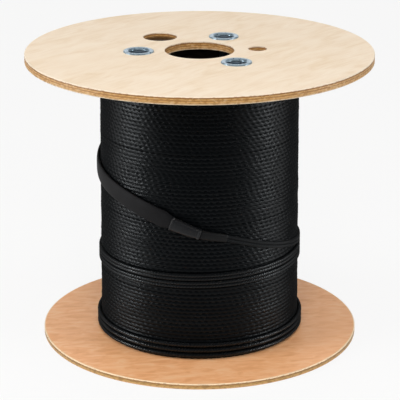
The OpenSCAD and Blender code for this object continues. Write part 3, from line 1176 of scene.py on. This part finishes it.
@dataclass(frozen=True)
class CableEnd:
    """The cable's outer end: a loose pair of strands, two shrunk collars and a flat sleeve.

    A section's form is its boxiness and its number of points. A roll of the wide collar is
    its place and width along the collar and its height, all as shares. A collar's edge is
    the share of its length that is rounded off, and the share of its size at the very end.
    """

    winding: Winding
    lay_gap: float = 0.4 * MM
    strand_gap: float = 0.1 * MM
    strand_w: float = 3.8 * MM
    strand_t: float = 2.2 * MM
    strand_boxy: float = 2.8
    strand_sides: int = 16
    strand_step: float = 0.4
    rib_share: float = 0.16
    rib_fade: float = 40.0
    pair_z: float = 106.5 * MM
    pair_rise: float = 2 * MM
    pair_pitch: float = 9 * MM
    trench_depth: float = 1.8 * MM
    trench_wall: Pair = (4.3 * MM, 5.4 * MM)
    trench_fade: float = 60.0
    trench_turns: int = 3
    low_turn_z: float = 11.9 * MM
    low_turn_pitch: float = 6.4 * MM
    low_pair_turns: float = 1.5
    back: Pair = (90.0, 270.0)
    ramp: Pair = (810.0, 985.0)
    strand_ends: Pair = (1200.0, 1580.0)
    sleeve_from: float = -190.0
    sleeve_to: float = -15.5
    collar_to: float = 0.5
    strands_from: float = 15.0
    helix_from: float = 96.0
    seam: float = 0.05
    sleeve_w: float = 20 * MM
    sleeve_t: float = 4 * MM
    sleeve_form: tuple[float, int] = (3.0, 40)
    sleeve_rings: int = 260
    gather: float = 0.26
    gather_length: float = 5.0
    collar_w: float = 17 * MM
    collar_t: float = 9 * MM
    collar_form: tuple[float, int] = (3.2, 48)
    collar_rings: int = 90
    collar_slim: float = 0.91
    collar_lip: float = 2 * MM
    collar_rolls: tuple[Triple, ...] = ((0.035, 0.03, 0.09), (0.95, 0.03, 0.08), (0.87, 0.025, -0.048))
    collar_edge: Pair = (0.025, 0.8)
    lead_collar_w: float = 10.5 * MM
    lead_collar_t: float = 7 * MM
    lead_collar_rings: int = 70
    lead_collar_taper: Pair = (0.16, 0.54)
    lead_collar_edge: Pair = (0.03, 0.9)
    knots_mm: tuple[Pair, ...] = (
        (-190, 228), (-150, 225), (-110, 215.5), (-76, 202.5), (-50, 192), (-27, 179),
        (-15.5, 171), (0.5, 159), (15, 152), (40, 136), (63, 124.5), (80, 118.5),
    )

    def helix(self, angle: Array) -> Array:
        """Height of the loose turns: level at the front, one pair pitch down at each turn's back.

        Args:
            angle: Angles round the winding.

        Returns:
            The heights.
        """
        turn = np.floor(angle / FULL_TURN)
        down = turn + eased(angle - FULL_TURN * turn, *self.back)
        return self.pair_z + self.pair_rise * np.sin(np.radians(angle)) + self.pair_pitch * (1 - down)

    def end_curve(self, angle: Array) -> Array:
        """Height along the sleeve, the collars and the tail: a cubic through the knots.

        Between two knots the curve takes their heights and slopes, and a knot's slope is
        that of the line between its neighbours.

        Args:
            angle: Angles round the winding.

        Returns:
            The heights.
        """
        at = np.array([knot[0] for knot in self.knots_mm] + [self.helix_from])
        height = np.array([knot[1] * MM for knot in self.knots_mm] + [*self.helix(at[-1:])])
        number = np.arange(len(at))
        before, after = np.maximum(number - 1, 0), np.minimum(number + 1, len(at) - 1)
        slope = (height[after] - height[before]) / (at[after] - at[before])
        i = np.clip(np.searchsorted(at, angle, side="right") - 1, 0, len(at) - 2)
        span = at[i + 1] - at[i]
        t = (angle - at[i]) / span
        ends = height[i] * (1 + 2 * t) * (1 - t) ** 2 + height[i + 1] * t * t * (3 - 2 * t)
        return ends + span * t * (1 - t) * (slope[i] * (1 - t) - slope[i + 1] * t)

    def pair_height(self, angle: Array) -> Array:
        """Height of the pair's middle: tail, loose turns, then a ramp down to the bottom turns.

        Args:
            angle: Angles round the winding.

        Returns:
            The heights.
        """
        low = self.low_turn_z + self.low_turn_pitch * self.low_pair_turns
        top = self.helix(np.array(self.ramp[:1]))
        ramp = top + (low - top) * eased(angle, *self.ramp)
        loose = np.where(angle < self.ramp[0], self.helix(angle), ramp)
        tail = self.end_curve(np.minimum(angle, self.helix_from))
        return np.where(angle < self.helix_from, tail, loose)

    def last_height(self, angle: Array) -> Array:
        """Height of the pair's middle for the lower strand, which goes round once more below."""
        down = eased(angle, self.ramp[0] + FULL_TURN, self.ramp[1] + FULL_TURN)
        return self.pair_height(angle) - self.low_turn_pitch * down

    def loosened(self, angle: Array, tight: float, loose: float) -> Array:
        """A size of the strands, which lie tight in the loose turns and free at the bottom."""
        return tight + (loose - tight) * eased(angle, *self.ramp)

    def trench(self, angle: Array, z: Array) -> Array:
        """How far the winding gives way round the loose turns.

        The depth falls off with the distance from the middle of each pair, between the
        trench's two walls.

        Args:
            angle: Angles round the drum from -180 to 180, columns.
            z: Heights, rows by columns.

        Returns:
            Rows by columns of depth.
        """
        deep = np.zeros(z.shape)
        for turn in range(self.trench_turns):
            way = angle + turn * FULL_TURN
            begun = eased(way, self.helix_from, self.helix_from + self.trench_fade)
            ended = eased(way, self.ramp[0], self.ramp[0] + self.trench_fade)
            apart = np.abs(z - self.helix(way))
            deep = np.maximum(deep, begun * (1 - ended) * (1 - eased(apart, *self.trench_wall)))
        return self.trench_depth * deep

    def way(self, height: HeightWay, angle: Array) -> Array:
        """Points on the laid surface: the winding's radius plus the lay gap, at the way's height.

        Args:
            height: The way's height by angle.
            angle: Angles round the winding.

        Returns:
            Angles by 3.
        """
        z = height(angle)
        radius = self.winding.radius(z) + self.lay_gap
        turn = np.radians(angle)
        return joined(radius * np.sin(turn), -radius * np.cos(turn), z)

    def swept(self, height: HeightWay, angle: Array, section: Array) -> Array:
        """Carries a section along a way, square to it.

        A point is the way's point plus the section's first number along the upward
        direction and its second one along the outward direction.

        Args:
            height: The way's height by angle.
            angle: Angle of each ring.
            section: Rings by points by 2.

        Returns:
            Rings by points by 3.
        """
        probe = 0.5
        tangent = self.way(height, angle + probe) - self.way(height, angle - probe)
        tangent /= np.linalg.norm(tangent, axis=-1, keepdims=True)
        turn = np.radians(angle)
        outward = joined(np.sin(turn), -np.cos(turn), np.zeros_like(turn))
        outward -= (outward * tangent).sum(-1, keepdims=True) * tangent
        outward /= np.linalg.norm(outward, axis=-1, keepdims=True)
        upward = np.cross(outward, tangent)
        centre = self.way(height, angle)[:, None]
        return centre + section[..., :1] * upward[:, None] + section[..., 1:] * outward[:, None]

    def run_length(self, height: HeightWay, angle: Array) -> Array:
        """Length along a way from its first angle on, rings by 1."""
        step = np.linalg.norm(np.diff(self.way(height, angle), axis=0), axis=-1)
        return np.concatenate([[0.0], np.cumsum(step)])[:, None]

    def strand(self, side: StrandSide) -> Patch:
        """Sweeps one strand: a flattened round section less slanting ribs, round again at the bottom.

        Args:
            side: Upper or lower strand of the pair.

        Returns:
            The capped surface.
        """
        upper = side is StrandSide.UPPER
        height = self.pair_height if upper else self.last_height
        end = self.strand_ends[0] if upper else self.strand_ends[1]
        angle = np.arange(self.strands_from + self.seam, end, self.strand_step)
        ring, sides = angle[:, None], self.strand_sides
        beads = self.run_length(height, angle) / LAY.bead
        across, out = flattened(sides, self.loosened(ring, self.strand_boxy, 2.0))
        ribs = self.rib_share * eased(ring, self.helix_from, self.helix_from + self.rib_fade)
        full = 1 - ribs * LAY.narrowing(STRAND.ribs * beads, -STRAND.lean * np.cos(circle(sides)))
        half_w = self.loosened(ring, self.strand_w, LAY.diameter) / 2
        top = self.loosened(ring, self.strand_t, LAY.diameter)
        low = self.loosened(ring, -self.trench_depth, 0.0)
        apart = self.loosened(ring, self.strand_w + self.strand_gap, self.low_turn_pitch)
        up = side.value * apart / 2 + half_w * across
        section = joined(up, (top + low + (top - low) * full * out) / 2)
        seen = 0.5 - 0.5 * np.cos(np.arange(sides + 1) * TWO_PI / sides)
        return Patch(self.swept(height, angle, section), joined(beads, seen), capped=True)

    def flat(self, angle: Array, width: Array, thickness: Array, boxy: float, sides: int) -> Patch:
        """Sweeps a flat piece: a flattened round section, boxier as its power grows.

        Args:
            angle: Angle of each ring.
            width: Width of each ring.
            thickness: Thickness of each ring.
            boxy: Power of the section's curve.
            sides: Points of a section.

        Returns:
            The capped surface, with its length in millimetres and its girth share as pattern.
        """
        across, out = flattened(sides, boxy)
        section = joined(width[:, None] / 2 * across, thickness[:, None] / 2 * (1 + out))
        uv = joined(self.run_length(self.end_curve, angle) / MM, np.arange(sides + 1) / sides)
        return Patch(self.swept(self.end_curve, angle, section), uv, capped=True)

    def rounded(self, share: Array, edge: float, least: float) -> Array:
        """Shrinks both ends of a piece to a least share, along a quarter circle over an edge."""
        near = np.clip(np.minimum(share, 1 - share) / edge, 0, 1)
        return least + (1 - least) * np.sqrt(1 - (1 - near) ** 2)

    def sleeve(self) -> Patch:
        """Sweeps the sleeve, which gathers in where it goes into the wide collar.

        Returns:
            The capped surface.
        """
        angle = np.linspace(self.sleeve_from + self.seam, self.sleeve_to, self.sleeve_rings)
        gather = self.gather * eased(angle, self.sleeve_to - self.gather_length, self.sleeve_to)
        thickness = np.full_like(angle, self.sleeve_t)
        return self.flat(angle, self.sleeve_w * (1 - gather), thickness, *self.sleeve_form)

    def wide_collar(self) -> Patch:
        """Sweeps the wide collar, with a rolled lip at the sleeve and a crimp at the narrow collar.

        A roll is its height times e to the minus square of the distance from its place.

        Returns:
            The capped surface.
        """
        angle = np.linspace(self.sleeve_to + self.seam, self.collar_to, self.collar_rings)
        share = np.linspace(0, 1, self.collar_rings)
        swell = np.full_like(share, self.collar_slim)
        for place, width, height in self.collar_rolls:
            swell += height * np.exp(-(((share - place) / width) ** 2))
        swell *= self.rounded(share, *self.collar_edge)
        width = self.collar_w + (self.lead_collar_w + self.collar_lip - self.collar_w) * share
        return self.flat(angle, width * swell, self.collar_t * swell, *self.collar_form)

    def narrow_collar(self) -> Patch:
        """Sweeps the narrow collar, shrunk down on the strands where they leave it.

        Returns:
            The capped surface.
        """
        angle = np.linspace(self.collar_to + self.seam, self.strands_from, self.lead_collar_rings)
        share = np.linspace(0, 1, self.lead_collar_rings)
        ends = self.rounded(share, *self.lead_collar_edge)
        narrowed, thinned = (ends * (1 - taper * share) for taper in self.lead_collar_taper)
        width, thickness = self.lead_collar_w * narrowed, self.lead_collar_t * thinned
        return self.flat(angle, width, thickness, *self.collar_form)

    def build(self) -> None:
        """Builds the strands, the collars and the sleeve."""
        jacket = STRAND.material()
        tube = TUBE.material()
        narrow = NARROW_TUBE.material()
        for name, side, node in (
            ("loose_strand_upper", StrandSide.UPPER, "lead_strand_a"),
            ("loose_strand_lower", StrandSide.LOWER, "lead_strand_b"),
        ):
            add_piece(name, self.strand(side), jacket, node, Edges.SOFT)
        for name, patch, finish, slot, node in (
            ("narrow_shrink_collar", self.narrow_collar(), narrow, Slot.SHRINK_TUBE, "lead_collar"),
            ("wide_shrink_collar", self.wide_collar(), tube, Slot.SHRINK_TUBE, "sleeve_collar"),
            ("flat_sleeve", self.sleeve(), WEAVE.material(), Slot.SLEEVE_WEAVE, "end_sleeve"),
        ):
            add_piece(name, patch, finish, node)


@dataclass(frozen=True)
class Softbox:
    """A soft rectangular lamp."""

    name: str
    place: Triple
    aim: Triple
    width: float
    height: float
    power: float
    in_mirrors: bool = True
    on_matte: bool = True

    def build(self) -> None:
        """Adds the lamp, facing its aim."""
        lamp = bpy.data.lights.new(self.name, "AREA")
        lamp.shape = "RECTANGLE"
        lamp.size, lamp.size_y = self.width, self.height
        lamp.energy = self.power
        made = bpy.data.objects.new(self.name, lamp)
        made.visible_glossy = self.in_mirrors
        made.visible_diffuse = self.on_matte
        made.location = self.place
        made.rotation_euler = (Vector(self.aim) - Vector(self.place)).to_track_quat("-Z", "Y").to_euler()
        bpy.context.scene.collection.objects.link(made)


@dataclass(frozen=True)
class Studio:
    """Camera, lamps, floor and surroundings."""

    camera_place: Triple = (0.0, -2.02575, 0.85027)
    camera_down_deg: float = 18.849
    focal_px: float = 1819.25
    image_px: float = 400.0
    centre_shift_px: float = -0.459
    sensor: float = 36.0
    floor_half: float = 6.0
    floor_pale: Colour = (232, 231, 229)
    floor_shade: Colour = (112, 112, 112)
    floor_glow: Colour = (255, 255, 255)
    floor_share: float = 0.86
    floor_roughness: float = 0.9
    shade_from: float = -0.24
    shade_to: float = -0.75
    fill: float = 0.14
    lamps: tuple[Softbox, ...] = (
        Softbox("left_strip", (-1.27, -0.27, 0.33), (0, 0, 0.16), 0.18, 0.76, 14.0, on_matte=False),
        Softbox("right_strip", (1.27, -0.27, 0.33), (0, 0, 0.16), 0.18, 0.76, 10.3, on_matte=False),
        Softbox("left_fill", (-1.8, -0.7, 1.0), (0, 0, 0.2), 1.0, 1.0, 20.0, in_mirrors=False),
        Softbox("right_fill", (1.8, -0.7, 1.0), (0, 0, 0.2), 1.0, 1.0, 11.5, in_mirrors=False),
        Softbox("overhead", (0.0, -0.2, 2.0), (0, 0, 0.3), 1.6, 1.6, 11.0, in_mirrors=False),
        Softbox("ceiling", (0.0, 0.6, 2.4), (0, 0.6, 0), 3.0, 3.0, 8.0, on_matte=False),
        Softbox("back_card", (0.0, 2.2, 1.05), (0, 0, 0.34), 2.4, 0.9, 9.0),
        Softbox("front_fill", (0.0, -1.9, 1.5), (0, 0, 0.2), 1.2, 1.2, 25.0, in_mirrors=False),
    )

    def camera(self) -> None:
        """Sets the camera where the photograph was taken from."""
        lens = bpy.data.cameras.new("camera")
        lens.sensor_width = self.sensor
        lens.lens = self.focal_px / self.image_px * self.sensor
        lens.shift_x = -self.centre_shift_px / self.image_px
        made = bpy.data.objects.new("camera", lens)
        made.location = self.camera_place
        made.rotation_euler = (math.radians(90 - self.camera_down_deg), 0, 0)
        bpy.context.scene.collection.objects.link(made)
        bpy.context.scene.camera = made

    def surroundings(self) -> None:
        """Makes the surroundings an even grey that fills the shadows."""
        world = bpy.data.worlds.new("surroundings")
        world.use_nodes = True
        bpy.context.scene.world = world
        background = world.node_tree.nodes["Background"]
        background.inputs["Color"].default_value = (1, 1, 1, 1)
        background.inputs["Strength"].default_value = self.fill

    def floor_paint(self) -> Material:
        """Paints the floor, pale round the drum and darker before it, for soft light.

        The camera, mirrors and clear bodies see a glow over the paint. The camera sees it
        white, and for the others it darkens before the drum as the paint does.

        Returns:
            The material.
        """
        shader = Shader("pale_floor")
        front = shader.axes(shader.place["Object"])[1]
        shade = shader.ranged(front, self.shade_from, self.shade_to)
        tone = shader.mixed(shade, linear(self.floor_pale), linear(self.floor_shade))
        shader.dress(Base_Color=tone, Roughness=self.floor_roughness, Specular_IOR_Level=0.0)
        ray = shader.node("ShaderNodeLightPath", {}).outputs
        camera = ray["Is Camera Ray"]
        mirrored = shader.sum(Op.MULTIPLY, shade, shader.sum(Op.SUBTRACT, 1.0, camera))
        seen = shader.mixed(mirrored, linear(self.floor_glow), linear(self.floor_shade))
        glow = shader.node("ShaderNodeEmission", {"Color": seen}).outputs[0]
        direct = shader.sum(Op.MAXIMUM, camera, ray["Is Glossy Ray"])
        direct = shader.sum(Op.MAXIMUM, direct, ray["Is Transmission Ray"])
        share = shader.sum(Op.MULTIPLY, direct, self.floor_share)
        mix = shader.node("ShaderNodeMixShader", {0: share, 1: shader.surface.outputs[0], 2: glow})
        shader.feed(shader.tree.nodes["Material Output"].inputs[0], mix.outputs[0])
        return shader.material

    def floor(self) -> None:
        """Lays a pale floor, which keeps a soft shadow of the drum."""
        half = self.floor_half
        corners = [(-half, -half, 0), (half, -half, 0), (half, half, 0), (-half, half, 0)]
        mesh = bpy.data.meshes.new("floor")
        mesh.from_pydata(corners, [], [(0, 1, 2, 3)])
        mesh.materials.append(self.floor_paint())
        made = bpy.data.objects.new("floor", mesh)
        bpy.context.scene.collection.objects.link(made)

    def build(self) -> None:
        """Builds the studio."""
        bpy.context.scene.view_settings.view_transform = "Standard"
        self.camera()
        self.surroundings()
        self.floor()
        for lamp in self.lamps:
            lamp.build()


def main() -> None:
    """Builds the drum's looks, piece by piece."""
    logging.basicConfig(level=logging.INFO, format="%(name)s: %(message)s")
    Studio().build()
    Woodwork().dress()
    TieRods().build()
    barrel_low, barrel_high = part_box("barrel")
    winding = Winding(
        low_z=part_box("bottom_flange")[1].z,
        high_z=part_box("top_flange")[0].z,
        barrel_r=(barrel_high.x - barrel_low.x) / 2,
    )
    cable_end = CableEnd(winding)
    winding.build(JACKET.material(), cable_end.trench)
    cable_end.build()


if __name__ == "__main__":
    main()
